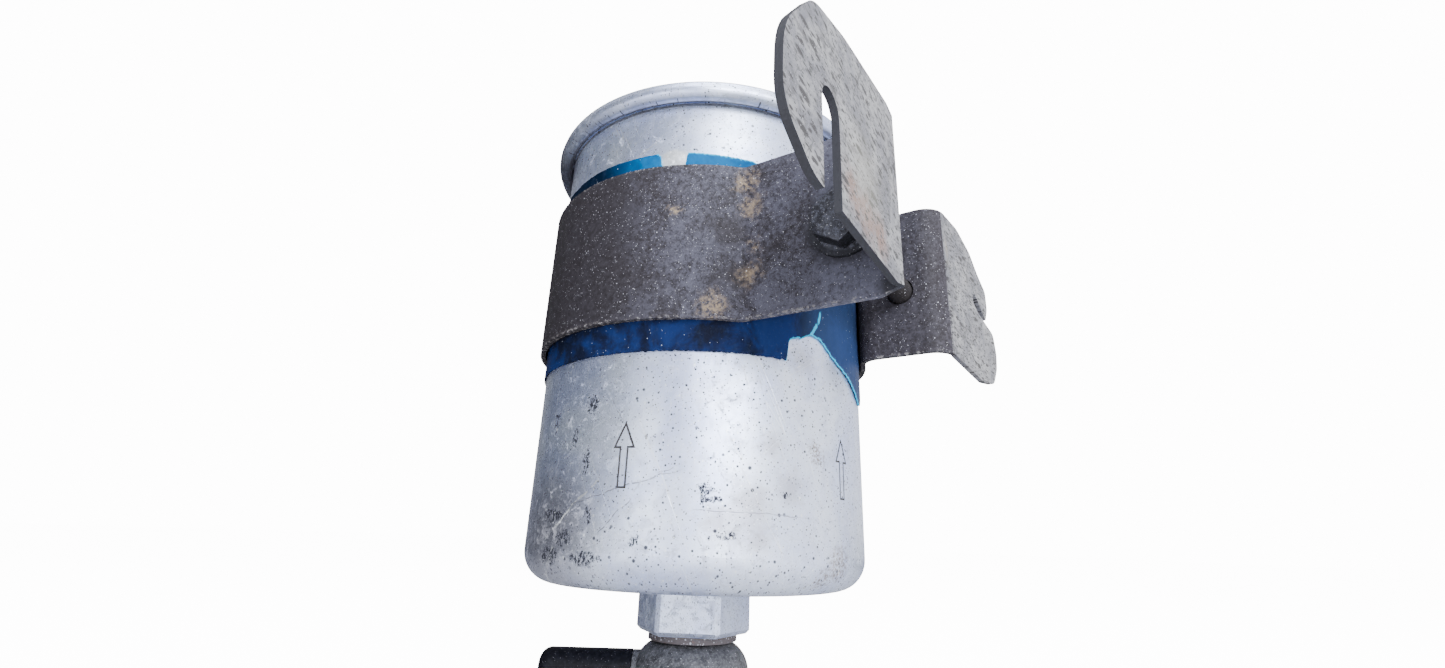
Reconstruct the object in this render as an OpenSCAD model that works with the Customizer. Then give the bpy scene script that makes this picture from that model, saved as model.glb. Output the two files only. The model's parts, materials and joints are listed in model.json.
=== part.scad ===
// In-line metal fuel filter with a screw-clamped strap bracket and a banjo union on its inlet.
// Millimetres. +Z runs along the can from the inlet to the outlet; the origin is the centre of the
// outlet port's mouth. +X is the way the bracket's mounting face looks.
// Heights in the modules are counted from the can's flat bottom and shifted down by outlet_h.

/* [Can] */
// Outside radius of the can
can_r = 40; // [36:0.5:42]
// Height of the outlet port's mouth over the can's flat bottom
outlet_h = 130; // [126:1:140]
// Height of the middle of the rolled seam bead
bead_z = 107.9; // [104:0.1:110]
// Distance of the bead's middle from the axis
bead_mid_r = 41.93; // [41.8:0.01:42.2]
// Radius of the bead's round section
bead_tube_r = 2; // [1.9:0.05:2.2]
// Wall thickness of the can
can_wall = 1; // [0.8:0.1:1.2]
// Outer radius of the can's bottom corner
bottom_round = 7; // [6:0.5:8]

/* [Ports] */
// Width across flats of the inlet hexagon
inlet_hex_af = 23.5; // [22:0.5:25]
// Length of the inlet hexagon below the can
inlet_hex_h = 10.3; // [8:0.1:12]
// Direction of the inlet hexagon's corner
inlet_hex_dir = 27.4; // [0:0.1:60]
// Radius of the inlet thread
inlet_bore_r = 6.95; // [6.92:0.01:7]
// Width across flats of the outlet hexagon
outlet_hex_af = 22; // [20:0.5:24]
// Core radius of the outlet thread
outlet_bore_r = 5.25; // [5:0.05:5.5]

/* [Banjo union] */
// Outside radius of the banjo eye
eye_r = 13.1; // [12.5:0.1:14]
// Height of the banjo eye
eye_h = 13; // [12:0.5:14]
// Thickness of one copper sealing washer
seal_t = 1.5; // [1:0.1:2]
// Distance from the axis to the end of the capped tail
tail_end = 34.5; // [30:0.5:45]
// Outside radius of the rubber cap on the tail
tail_cap_r = 4; // [3.8:0.1:4.5]
// Direction of the tail around the can's axis
tail_dir = 213.6; // [0:0.1:360]

/* [Bracket] */
// Inside radius of the clamp band
band_in_r = 41; // [40.95:0.01:41.2]
// Sheet thickness of the bracket
sheet_t = 1.2; // [1:0.1:1.4]
// Height of the band's lower edge
band_z0 = 52.1; // [50:0.1:55]
// Height of the band's upper edge
band_z1 = 88.2; // [84:0.1:90]
// Height of the legs' upper edge at the folds
leg_z1 = 89.2; // [88:0.1:90]
// Height of the front fold's lower corner
fold_z0 = 53.2; // [52:0.1:55]
// Position of the front leg's middle plane along Y
front_leg_y = -30.2; // [-31:0.1:-29]
// Position of the back leg's middle plane along Y
back_leg_y = 6.9; // [6:0.1:8]
// Position of the front flange's mounting face along X
face_x = 61.8; // [61:0.1:64]
// Angle by which the back flange is splayed out of the front flange's plane
splay = 8.4; // [6:0.1:10]
// Width of the front flange's bolt slot
slot_w = 6.4; // [5.5:0.1:7]

/* [Clamp screw] */
// Position of the clamp screw along X
screw_x = 51.5; // [50.5:0.1:52]
// Height of the clamp screw
screw_z = 68.2; // [66:0.1:72]
// Shank radius of the clamp screw
screw_r = 3; // [2.5:0.05:3]

/* [Film sleeve] */
// Height of the sleeve's lower edge
film_z0 = 45.7; // [44:0.1:48]
// Height of the sleeve's upper edge
film_z1 = 92.8; // [91:0.1:96]
// Thickness of the plastic film
film_t = 0.65; // [0.5:0.05:0.7]

/* [Filter element] */
// Number of pleats in the paper
pleats = 30; // [24:1:36]
// Outer radius of the pleats
pleat_out_r = 33.4; // [30:0.2:33.6]
// Inner radius of the pleats
pleat_in_r = 13; // [12.6:0.1:15]
// Height of the element's lower end
element_z0 = 9.2; // [8:0.2:12]
// Height of the element's upper end
element_z1 = 96; // [90:1:97]

/* [Hidden] */
$fn = 96;
eps = 0.05;
eye_top = -inlet_hex_h - seal_t;
eye_mid = eye_top - eye_h / 2;
eye_low = eye_top - eye_h;
band_mid_r = band_in_r + sheet_t / 2;
// plan of the back flange: unit normal and unit direction away from the fold
back_n = [cos(splay), -sin(splay)];
back_t = [sin(splay), cos(splay)];
back_mid = 59.4;
// centre-line radii of the four bends in the bracket's plan
bend_a = 3;
bend_b = 0.7;
bend_c = 5;
bend_d = 5;
// bend centres
ca = [sqrt(pow(band_mid_r + bend_a, 2) - pow(front_leg_y - bend_a, 2)), front_leg_y - bend_a];
cb = [face_x - sheet_t / 2 - bend_b, front_leg_y - bend_b];
cc = [sqrt(pow(band_mid_r + bend_c, 2) - pow(back_leg_y + bend_c, 2)), back_leg_y + bend_c];
cd = [(back_mid - bend_d + (back_leg_y + bend_d) * sin(splay)) / cos(splay), back_leg_y + bend_d];
dir_a = atan2(ca.y, ca.x);
dir_c = atan2(cc.y, cc.x);

// ---------- helpers ----------
function unit(v) = v / norm(v);
// points of one rounded corner of an outline
function corner(a, b, c, r, n) =
    let (u = unit(a - b), w = unit(c - b), half = acos(u * w) / 2,
         m = b + unit(u + w) * (r / sin(half)),
         p = b + u * (r / tan(half)), q = b + w * (r / tan(half)),
         a0 = atan2(p.y - m.y, p.x - m.x), a1 = atan2(q.y - m.y, q.x - m.x),
         turn = (a1 - a0 + 540) % 360 - 180)
    [for (i = [0:n]) m + r * [cos(a0 + turn * i / n), sin(a0 + turn * i / n)]];
// an outline from corners given as [x, y, corner radius]
function outline(c, n = 6) =
    let (k = len(c))
    [for (i = [0:k - 1])
        let (b = [c[i].x, c[i].y], a = [c[(i + k - 1) % k].x, c[(i + k - 1) % k].y],
             d = [c[(i + 1) % k].x, c[(i + 1) % k].y])
        each (c[i].z == 0 ? [b] : corner(a, b, d, c[i].z, n))];

// moves a piece built on the can's flat bottom into the part's frame
module lift() {
    translate([0, 0, -outlet_h]) children();
}

// a ring with square edges
module ring(z0, z1, r_in, r_out) {
    translate([0, 0, z0])
    difference() {
        cylinder(h = z1 - z0, r = r_out);
        translate([0, 0, -1]) cylinder(h = z1 - z0 + 2, r = r_in);
    }
}

// a hexagonal prism
module hexagon(af, h) {
    cylinder(h = h, r = af / 2 / cos(30), $fn = 6);
}

// a sector of a circle between two directions
module sector(r, a0, a1) {
    n = ceil((a1 - a0) / 30);
    polygon([[0, 0], for (i = [0:n]) r / cos((a1 - a0) / n / 2) * [cos(a0 + (a1 - a0) * i / n),
             sin(a0 + (a1 - a0) * i / n)]]);
}

// a piece of bent sheet in plan: centre, centre-line radius, directions. It is a hair thinner than
// the flat sheet and runs a little way into it at both ends, so that the two join cleanly
module bend(c, r, a0, a1) {
    run_in = 14 / r;
    translate(c)
    intersection() {
        difference() {
            circle(r = r + sheet_t / 2 - 0.02);
            circle(r = r - sheet_t / 2 + 0.02);
        }
        sector(r + sheet_t, a0 - run_in, a1 + run_in);
    }
}

// ---------- can ----------
// one flow arrow stamped in the wall, as a prism that points outward
module flow_arrow(dir, z) {
    rotate([0, 0, dir])
    translate([can_r - 0.22, 0, z])
    rotate([90, 0, 90])
    linear_extrude(3)
    difference() {
        polygon([[-1, 0], [1, 0], [1, 7.6], [2.4, 7.6], [0, 12.9], [-2.4, 7.6], [-1, 7.6]]);
        polygon([[-0.6, 0.4], [0.6, 0.4], [0.6, 8], [1.75, 8], [0, 11.9], [-1.75, 8], [-0.6, 8]]);
    }
}

module can_section() {
    difference() {
        union() {
            translate([0, bottom_round]) square([can_r, 107.1 - bottom_round]);
            square([can_r - bottom_round, 20]);
            translate([can_r - bottom_round, bottom_round]) circle(r = bottom_round);
            translate([can_r - 2, 107.1]) square([bead_mid_r + 0.9 - can_r + 2, 0.9]);
        }
        translate([-1, bottom_round]) square([can_r - can_wall + 1, 120]);
        translate([-1, 1.8]) square([can_r - bottom_round + 1, 20]);
        intersection() {
            translate([can_r - bottom_round, bottom_round]) circle(r = bottom_round - can_wall);
            translate([can_r - bottom_round - 1, 1.8]) square([20, 20]);
        }
        // keeps the left part of the corner circle off the axis side
        translate([-40, -1]) square([40, 130]);
    }
}

// hexagon with blunted corners; each flat has its own chamfer at the lower edge
module inlet_hexagon() {
    corner_r = 13.2;
    chamfer = 1;
    intersection() {
        rotate([0, 0, inlet_hex_dir])
        difference() {
            translate([0, 0, -inlet_hex_h]) hexagon(inlet_hex_af, inlet_hex_h + 1);
            for (k = [0:5]) rotate([0, 0, 30 + 60 * k])
                translate([inlet_hex_af / 2 - chamfer, -10, -inlet_hex_h])
                rotate([0, 45, 0]) translate([0, 0, -4]) cube([8, 20, 12]);
        }
        union() {
            translate([0, 0, -inlet_hex_h]) cylinder(h = 0.8, r1 = corner_r - 0.8, r2 = corner_r);
            translate([0, 0, -inlet_hex_h + 0.8]) cylinder(h = inlet_hex_h, r = corner_r);
        }
    }
}

module canister() {
    color([0.72, 0.75, 0.80])
    lift()
    difference() {
        union() {
            rotate_extrude() can_section();
            inlet_hexagon();
            // small blend between the hexagon and the can
            translate([0, 0, -1.1]) cylinder(h = 1.2, r1 = inlet_hex_af / 2 + 0.2, r2 = inlet_hex_af / 2 + 2.4);
        }
        translate([0, 0, -inlet_hex_h - 1]) cylinder(h = 20, r = inlet_bore_r);
        translate([0, 0, -inlet_hex_h - 0.01]) cylinder(h = 0.8, r1 = inlet_bore_r + 0.8, r2 = inlet_bore_r);
        for (d = [-78.2, -7.6]) flow_arrow(d, 18.7);
    }
}

// pressed end cover: rolled bead, countersunk wall, dome and a hexagon with the outlet port
module cover_section() {
    dome_z = 68.17;
    dome_r = 52.23;
    difference() {
        union() {
            // the seam's section is a little taller than it is deep
            translate([bead_mid_r, bead_z]) circle(r = bead_tube_r);
            translate([bead_mid_r - 0.18, bead_z + 0.7]) circle(r = bead_tube_r);
            translate([38.1, bead_z + bead_tube_r - 0.3]) square([bead_mid_r - 38.1, 0.9]);
            translate([38.1, 103.4]) square([0.8, bead_z + bead_tube_r + 0.6 - 103.4]);
            translate([36.6, 103.4]) square([1.6, 0.9]);
            intersection() {
                translate([0, dome_z])
                difference() {
                    circle(r = dome_r);
                    circle(r = dome_r - 0.9);
                }
                translate([8, 103.4]) square([29.4, 20]);
            }
            // collar under the outlet port that takes the element's neck
            translate([9.3, 105.5]) square([1.3, 13]);
            translate([outlet_bore_r, 115.6]) square([6.5, 4]);
        }
        // room in the rolled seam for the can's flange, and beside the can's wall
        translate([38.95, 107]) square([4, 1.65]);
        translate([38.95, 100]) square([1.1, 8]);
    }
}

module end_cover() {
    color([0.70, 0.72, 0.76])
    lift()
    difference() {
        union() {
            rotate_extrude() cover_section();
            intersection() {
                translate([0, 0, 117.5]) hexagon(outlet_hex_af, outlet_h - 117.5);
                translate([0, 0, outlet_h - 14]) cylinder(h = 14, r1 = outlet_hex_af / 2 + 14, r2 = outlet_hex_af / 2 - 0.3);
            }
        }
        translate([0, 0, 110]) cylinder(h = 30, r = outlet_bore_r);
    }
}

// seaming ring pressed between the can's flange and the rolled cover
module seam_gasket() {
    color([0.12, 0.12, 0.13])
    lift() ring(108.05, 108.55, 41.3, 42.8);
}

// ---------- filter element ----------
function fold(i, r, a) = r * [cos(i * 360 / pleats + a), sin(i * 360 / pleats + a)];

module filter_paper() {
    half = 180 / pleats;
    color([0.86, 0.74, 0.45])
    lift()
    translate([0, 0, element_z0 + 0.85])
    linear_extrude(element_z1 - element_z0 - 0.9)
    difference() {
        polygon([for (i = [0:pleats - 1], s = [0:3])
            [fold(i, pleat_out_r, -2.6), fold(i, pleat_out_r, 2.6),
             fold(i, pleat_in_r, half - 1), fold(i, pleat_in_r, half + 1)][s]]);
        polygon([for (i = [0:pleats - 1], s = [0:3])
            [fold(i, pleat_out_r - 0.6, -1.5), fold(i, pleat_out_r - 0.6, 1.5),
             fold(i, pleat_in_r - 0.6, 2.9), fold(i, pleat_in_r - 0.6, 2 * half - 2.9)][s]]);
    }
}

module centre_tube() {
    color([0.62, 0.64, 0.66])
    lift()
    difference() {
        ring(element_z0 + 0.85, element_z1 - eps, 10.6, 11.4);
        for (k = [0:6], i = [0:2])
            translate([0, 0, element_z0 + 10 + k * 11])
            rotate([0, 90, i * 60 + (k % 2) * 30])
            cylinder(h = 30, r = 1.8, center = true, $fn = 24);
    }
}

module lower_end_cap() {
    color([0.66, 0.68, 0.70])
    lift() {
        translate([0, 0, element_z0]) cylinder(h = 0.8, r = 35);
        ring(element_z0, element_z0 + 5, 34.2, 35);
    }
}

module upper_end_cap() {
    color([0.66, 0.68, 0.70])
    lift() {
        ring(element_z1, element_z1 + 0.8, 6.8, 35);
        ring(element_z1 - 4.2, element_z1 + 0.8, 34.2, 35);
        ring(element_z1, 112.5, 6.8, 7.6);
        ring(105, 105.8, 6.8, 9);
    }
}

// rubber ring between the element's neck and the collar under the outlet
module element_seal() {
    color([0.09, 0.09, 0.10])
    lift() ring(105.9, 109.4, 7.65, 9.25);
}

// perforated plate that carries the strainer below the outlet port
module support_plate() {
    color([0.70, 0.71, 0.72])
    lift()
    difference() {
        translate([0, 0, 113.4]) cylinder(h = 0.8, r = 9.25);
        for (i = [0:5]) rotate([0, 0, i * 60]) translate([5.4, 0, 112]) cylinder(h = 4, r = 1.7, $fn = 24);
        translate([0, 0, 112]) cylinder(h = 4, r = 1.7, $fn = 24);
    }
}

module strainer() {
    color([0.80, 0.78, 0.70])
    lift() {
        ring(114.25, 114.95, 7.9, 9.2);
        intersection() {
            translate([0, 0, 114.3]) cylinder(h = 0.4, r = 8);
            union() {
                for (i = [-7:7]) translate([i * 1.1 - 0.2, -9, 114.3]) cube([0.4, 18, 0.4]);
                for (i = [-7:7]) translate([-9, i * 1.1 - 0.2, 114.3]) cube([18, 0.4, 0.4]);
            }
        }
    }
}

// three-legged leaf spring that presses the element against its seal
module spring_plate() {
    color([0.55, 0.57, 0.60])
    lift()
    difference() {
        union() {
            ring(8.3, 9.1, 9, 19);
            for (i = [0:2]) rotate([0, 0, i * 120 + 30])
                rotate([90, 0, 0])
                translate([0, 0, -4])
                linear_extrude(8)
                polygon([[16, 8.3], [17, 9.1], [30.4, 2.8], [32, 2.8], [32, 1.9], [30, 1.9]]);
        }
    }
}

// ---------- film ----------
module film_sleeve() {
    color([0.08, 0.22, 0.52])
    lift()
    difference() {
        ring(film_z0, film_z1, can_r + eps, can_r + eps + film_t);
        // gap in the upper edge
        rotate([0, 0, -68.8]) translate([30, -2.7, 89.4]) cube([20, 5.4, 10]);
        // upper edge torn away beside the bracket
        rotate([0, 0, -22]) translate([30, 0, 0]) rotate([90, 0, 90]) linear_extrude(20)
            polygon([[-16.5, 96], [-13.5, 91.4], [-9.5, 90.4], [-4, 88.2], [16, 88], [24, 90], [26, 96]]);
        // torn corner under the band
        rotate([0, 0, -19.4]) translate([30, 0, 0]) rotate([90, 0, 90]) linear_extrude(20)
            polygon([[-8.5, 40], [-8.5, 50], [-6.2, 50.7], [-4, 51.3], [-2, 52.7], [0.9, 52.4],
                     [5.7, 48.5], [9.5, 46.6], [13.2, 45.4], [13.2, 40]]);
    }
}

// ---------- bracket ----------
// plan of the sheet metal from the front flange's fold round the can to the back flange's fold
module strap_plan() {
    difference() {
        circle(r = band_in_r + sheet_t);
        circle(r = band_in_r);
        // open part of the ring between the two legs
        polygon([[0, 0], 90 * [cos(dir_a), sin(dir_a)], [90, -20], [90, 10], 90 * [cos(dir_c), sin(dir_c)]]);
    }
    bend(ca, bend_a, 90, dir_a + 180);
    translate([ca.x, front_leg_y - sheet_t / 2]) square([cb.x - ca.x, sheet_t]);
    bend(cb, bend_b, 0, 90);
    bend(cc, bend_c, dir_c + 180, 270);
    translate([cc.x, back_leg_y - sheet_t / 2]) square([cd.x - cc.x, sheet_t]);
    bend(cd, bend_d, -90, -splay);
}

// front flange, drawn as seen from +X: first number along Y, second is height
module front_flange() {
    translate([face_x - sheet_t, 0, 0])
    rotate([90, 0, 90])
    linear_extrude(sheet_t)
    polygon(outline([[cb.y, fold_z0, 0], [-35, band_z0, 3], [-71, band_z0, 8], [-79.6, 57, 6], [-79.3, 68.5, 14],
                     [-70.2, 80.9, 10], [-57.5, 85.1, 25], [-34.6, 89.5, 1.5], [cb.y, leg_z1, 0]]));
}

// back flange: first number along the splayed direction, second is height. A narrow slit runs in
// from its outer end and leaves a finger above it
module back_flange() {
    t0 = cd * back_t;
    rotate([0, 0, -splay])
    translate([back_mid - sheet_t / 2, 0, 0])
    rotate([90, 0, 90])
    linear_extrude(sheet_t)
    polygon(outline([[t0, 51.9, 0], [38.8, 49.7, 8], [47.8, 51, 5], [52, 56, 5], [53.3, 60.5, 5],
                     [52.2, 66.1, 2.5], [47.2, 67.3, 0.5], [41.2, 68.8, 4], [37, 70.8, 1.4],
                     [38.4, 74.6, 1.4], [46.6, 68.5, 0.4], [49.2, 72.4, 4], [49.3, 77.8, 2],
                     [43.8, 81.3, 6], [38.6, 85.8, 6], [29.8, 89.1, 10], [t0, leg_z1, 0]]));
}

module bracket_strap() {
    color([0.20, 0.21, 0.24])
    lift()
    difference() {
        union() {
            difference() {
                translate([0, 0, band_z0]) linear_extrude(leg_z1 - band_z0) strap_plan();
                // the legs' upper edge climbs from the band to the folds
                translate([0, 60, 0]) rotate([90, 0, 0]) linear_extrude(120)
                    polygon([[-60, band_z1], [46, band_z1], [53.5, leg_z1], [53.5, 95], [-60, 95]]);
                // rounded-off lower corner of the front fold
                translate([0, back_leg_y - 20, 0]) rotate([90, 0, 0]) linear_extrude(40)
                    polygon([[57.5, 50], [57.5, band_z0], [cb.x, fold_z0], [65, fold_z0], [65, 50]]);
            }
            front_flange();
            back_flange();
        }
        // slot in the front flange, open at its lower edge
        translate([face_x - 6, -64.4, 66.4]) rotate([0, 90, 0]) cylinder(h = 12, r = slot_w / 2);
        translate([face_x - 6, -64.4 - slot_w / 2, 40]) cube([12, slot_w, 26.4]);
        // holes for the clamp screw
        translate([screw_x, -50, screw_z]) rotate([-90, 0, 0]) cylinder(h = 80, r = 3.3);
    }
}

// ---------- clamp screw set ----------
front_y = front_leg_y - sheet_t / 2;
back_y = back_leg_y + sheet_t / 2;

module clamp_screw() {
    head_y = front_y - 0.8 - 2 * eps;
    color([0.16, 0.17, 0.19])
    lift()
    translate([screw_x, head_y, screw_z])
    rotate([-90, 0, 0])
    difference() {
        union() {
            translate([0, 0, -1]) cylinder(h = 51, r = screw_r);
            // hexagon head with one corner pointing down
            translate([0, 0, -4])
            intersection() {
                rotate([0, 0, 30]) hexagon(10, 4);
                cylinder(h = 4, r1 = 4.7, r2 = 4.7 + 4 * 1.8);
            }
        }
        // chamfered shank end
        difference() {
            translate([0, 0, 49.2]) cylinder(h = 2, r = 5);
            translate([0, 0, 49.2]) cylinder(h = 2, r1 = 3, r2 = 1);
        }
    }
}

module clamp_washer() {
    color([0.30, 0.31, 0.34])
    lift()
    translate([screw_x, front_y - 0.8 - eps, screw_z])
    rotate([-90, 0, 0]) ring(0, 0.8, 3.3, 7.1);
}

// split spring washer under the nut
module lock_washer() {
    color([0.40, 0.41, 0.43])
    lift()
    translate([screw_x, back_y + eps, screw_z])
    rotate([-90, 0, 0])
    difference() {
        ring(0, 1.6, 3.1, 4.95);
        rotate([0, 0, 140]) translate([2, -0.4, -1]) cube([6, 0.8, 4]);
    }
}

module clamp_nut() {
    color([0.62, 0.60, 0.52])
    lift()
    translate([screw_x, back_y + 1.6 + 2 * eps, screw_z])
    rotate([-90, 0, 0])
    difference() {
        intersection() {
            hexagon(10, 5);
            cylinder(h = 5, r1 = 5.1, r2 = 8);
            cylinder(h = 5, r1 = 8, r2 = 5.1);
        }
        translate([0, 0, -1]) cylinder(h = 8, r = screw_r + 0.05);
    }
}

// ---------- inlet ----------
module inlet_washer_upper() {
    color([0.66, 0.36, 0.22])
    lift() ring(-inlet_hex_h - seal_t + 0.02, -inlet_hex_h - 0.02, 7.2, 10.25);
}

module inlet_washer_lower() {
    color([0.66, 0.36, 0.22])
    lift() ring(eye_low - seal_t + 0.02, eye_low - 0.02, 7.2, 10.25);
}

module banjo_union() {
    round_r = eye_h / 2;
    color([0.17, 0.17, 0.18])
    lift()
    difference() {
        union() {
            rotate_extrude()
            difference() {
                union() {
                    translate([0, eye_low]) square([eye_r - round_r, eye_h]);
                    translate([eye_r - round_r, eye_mid]) circle(r = round_r);
                }
                translate([-20, eye_low - 1]) square([20, eye_h + 2]);
            }
            // tail with three barbs
            rotate([0, 0, tail_dir]) translate([0, 0, eye_mid]) rotate([0, 90, 0]) {
                cylinder(h = 13.4, r = 3.9);
                cylinder(h = tail_end - 2.5, r = 2.55);
                for (k = [0:2]) translate([0, 0, tail_end - 15 + k * 4]) cylinder(h = 2.6, r1 = 2.95, r2 = 2.5);
            }
        }
        translate([0, 0, eye_low - 1]) cylinder(h = eye_h + 2, r = 7.3);
        // groove that feeds the tail
        ring(eye_mid - 2.6, eye_mid + 2.6, 0, 8.3);
        rotate([0, 0, tail_dir]) translate([0, 0, eye_mid]) rotate([0, 90, 0]) cylinder(h = 60, r = 1.6);
    }
}

module tail_cap() {
    end_r = 2.6;
    color([0.07, 0.07, 0.08])
    lift()
    rotate([0, 0, tail_dir]) translate([0, 0, eye_mid]) rotate([0, 90, 0])
    rotate_extrude()
    difference() {
        union() {
            translate([0, 13.6]) square([tail_cap_r, tail_end - 13.6 - end_r]);
            translate([0, 20]) square([tail_cap_r - end_r, tail_end - 20]);
            intersection() {
                translate([tail_cap_r - end_r, tail_end - end_r]) circle(r = end_r);
                translate([0, 20]) square([20, 40]);
            }
        }
        translate([-1, 10]) square([4, tail_end - 12.3]);
    }
}

module banjo_bolt() {
    color([0.60, 0.60, 0.57])
    lift()
    difference() {
        union() {
            translate([0, 0, eye_low - seal_t]) cylinder(h = 25.5, r = 6.88);
            translate([0, 0, eye_low - seal_t - 1.4]) cylinder(h = 1.4, r = 10.6);
            intersection() {
                translate([0, 0, eye_low - seal_t - 9.4]) hexagon(19, 8.2);
                translate([0, 0, eye_low - seal_t - 9.4]) cylinder(h = 8.2, r1 = 9.3, r2 = 22);
            }
        }
        translate([0, 0, eye_low - 1]) cylinder(h = 60, r = 3.4);
        translate([0, 0, eye_mid]) rotate([0, 90, 0]) cylinder(h = 40, r = 2.1, center = true);
    }
}

canister();
end_cover();
seam_gasket();
filter_paper();
centre_tube();
upper_end_cap();
lower_end_cap();
element_seal();
support_plate();
strainer();
spring_plate();
film_sleeve();
bracket_strap();
clamp_screw();
clamp_washer();
lock_washer();
clamp_nut();
inlet_washer_upper();
inlet_washer_lower();
banjo_union();
banjo_bolt();
tail_cap();
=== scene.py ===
# Fuel filter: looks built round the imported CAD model. Metres, in the CAD model's own frame.
import json
import math

import bmesh
import bpy
from mathutils import Matrix, Vector, noise


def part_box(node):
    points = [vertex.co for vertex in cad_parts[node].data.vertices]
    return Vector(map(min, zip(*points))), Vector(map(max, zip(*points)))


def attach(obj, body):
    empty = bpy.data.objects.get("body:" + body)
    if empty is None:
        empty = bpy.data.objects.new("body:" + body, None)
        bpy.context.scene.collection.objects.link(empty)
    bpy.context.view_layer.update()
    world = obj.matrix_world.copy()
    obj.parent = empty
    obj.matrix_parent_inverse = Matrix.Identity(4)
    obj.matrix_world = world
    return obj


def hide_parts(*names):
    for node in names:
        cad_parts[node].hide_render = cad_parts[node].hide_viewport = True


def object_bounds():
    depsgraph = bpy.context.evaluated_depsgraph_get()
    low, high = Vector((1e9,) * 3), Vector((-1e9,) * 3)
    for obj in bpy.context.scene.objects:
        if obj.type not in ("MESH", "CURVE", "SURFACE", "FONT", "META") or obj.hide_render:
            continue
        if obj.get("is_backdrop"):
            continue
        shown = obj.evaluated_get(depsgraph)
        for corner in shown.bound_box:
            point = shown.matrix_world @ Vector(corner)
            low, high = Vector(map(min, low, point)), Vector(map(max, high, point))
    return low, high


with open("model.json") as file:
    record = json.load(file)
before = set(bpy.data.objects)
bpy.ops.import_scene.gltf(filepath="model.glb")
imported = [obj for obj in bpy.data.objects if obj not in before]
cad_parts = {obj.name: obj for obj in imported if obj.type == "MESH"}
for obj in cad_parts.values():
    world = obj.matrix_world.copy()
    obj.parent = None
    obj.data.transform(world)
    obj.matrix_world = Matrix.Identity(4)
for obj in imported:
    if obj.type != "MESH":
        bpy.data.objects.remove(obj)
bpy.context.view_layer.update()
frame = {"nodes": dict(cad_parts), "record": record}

MM = 0.001
OUTLET_H = 130.0  # height of the origin over the can's flat bottom, in mm
OUTLET_BORE = 5.25  # radius of the outlet's hole
FLANGE_X = next(m["pos_m"][0] for m in frame["record"]["mounts"] if m["name"] == "bracket_face") / MM
BACK_N = (math.cos(math.radians(8.4)), -math.sin(math.radians(8.4)))  # the way the splayed back flange looks
BAND_LOW, BAND_HIGH = 52.1, 88.2  # heights of the bracket's edges
HEAD_H = 4.0  # height of the clamp screw's head
WALL_R = 40.0  # radius of the can's wall
CREASE_H = 106.15  # height of the crease under the seam
BAND_R = 42.2  # radius of the band's outer face


def at(x, y, z):
    """A point in metres from millimetres, z counted from the can's flat bottom."""
    return Vector((x * MM, y * MM, (z - OUTLET_H) * MM))


def arc(direction):
    """Arc length along the can's wall, in mm, for a direction in degrees."""
    return math.radians(direction) * WALL_R


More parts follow.
